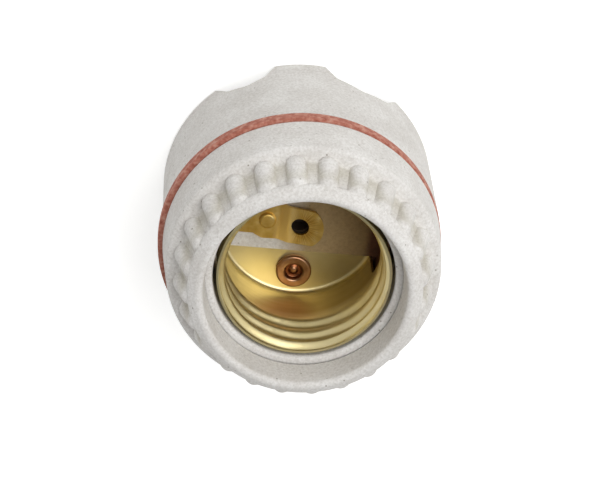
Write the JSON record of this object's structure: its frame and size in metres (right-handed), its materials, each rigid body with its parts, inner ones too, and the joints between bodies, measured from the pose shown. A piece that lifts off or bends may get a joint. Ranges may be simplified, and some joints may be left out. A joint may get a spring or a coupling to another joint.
{
  "type": "lamp socket",
  "caption": "Ring-type ceramic lamp socket: porcelain body, ribbed clamp ring on a threaded neck, fibre washer, brass screw shell, spring contact and rear terminals.",
  "frame": {"origin": "centre of the rear rim's plane, on the lamp's axis", "axes": "+Z along the lamp's axis, out of the mouth; +Y towards the side with the two wire notches"},
  "size_m": [0.045, 0.045, 0.0379],
  "materials": {
    "porcelain": "unglazed, fine dark specks",
    "vulcanised_fibre": "matt red-brown fibre board",
    "shell_brass": "bright drawn brass",
    "copper": "bright rolled copper",
    "spring_brass": "stamped brass with light scratches",
    "terminal_brass": "stamped and turned brass",
    "nickel_plate": "bright nickel plate"
  },
  "bodies": {
    "socket": {"rear_body": "porcelain", "screw_shell": "shell_brass", "shell_eyelet": "copper", "centre_contact": "spring_brass", "contact_rivet": "spring_brass", "shell_terminal_plate": "terminal_brass", "contact_terminal_plate": "terminal_brass"},
    "washer": {"gasket": "vulcanised_fibre"},
    "ring": {"clamp_ring": "porcelain"},
    "shell_screw": {"shell_terminal_screw": "nickel_plate"},
    "contact_screw": {"contact_terminal_screw": "terminal_brass"}
  },
  "joints": [
    {"name": "ring_rise", "type": "slide", "parent": "socket", "child": "washer", "axis": [0, 0, 1], "range_m": [0, 0.009]},
    {"name": "ring_turn", "type": "hinge", "parent": "washer", "child": "ring", "pos_m": [0, 0, 0.0216], "axis": [0, 0, 1], "range_deg": [0, 1012.4]},
    {"name": "shell_screw_out", "type": "slide", "parent": "socket", "child": "shell_screw", "axis": [0, 0, -1], "range_m": [0, 0.0025]},
    {"name": "contact_screw_out", "type": "slide", "parent": "socket", "child": "contact_screw", "axis": [0, 0, -1], "range_m": [0, 0.0025]}
  ],
  "couplings": [
    {"joint": "ring_rise", "follows": "ring_turn", "m_per_rad": 0.0005093}
  ]
}
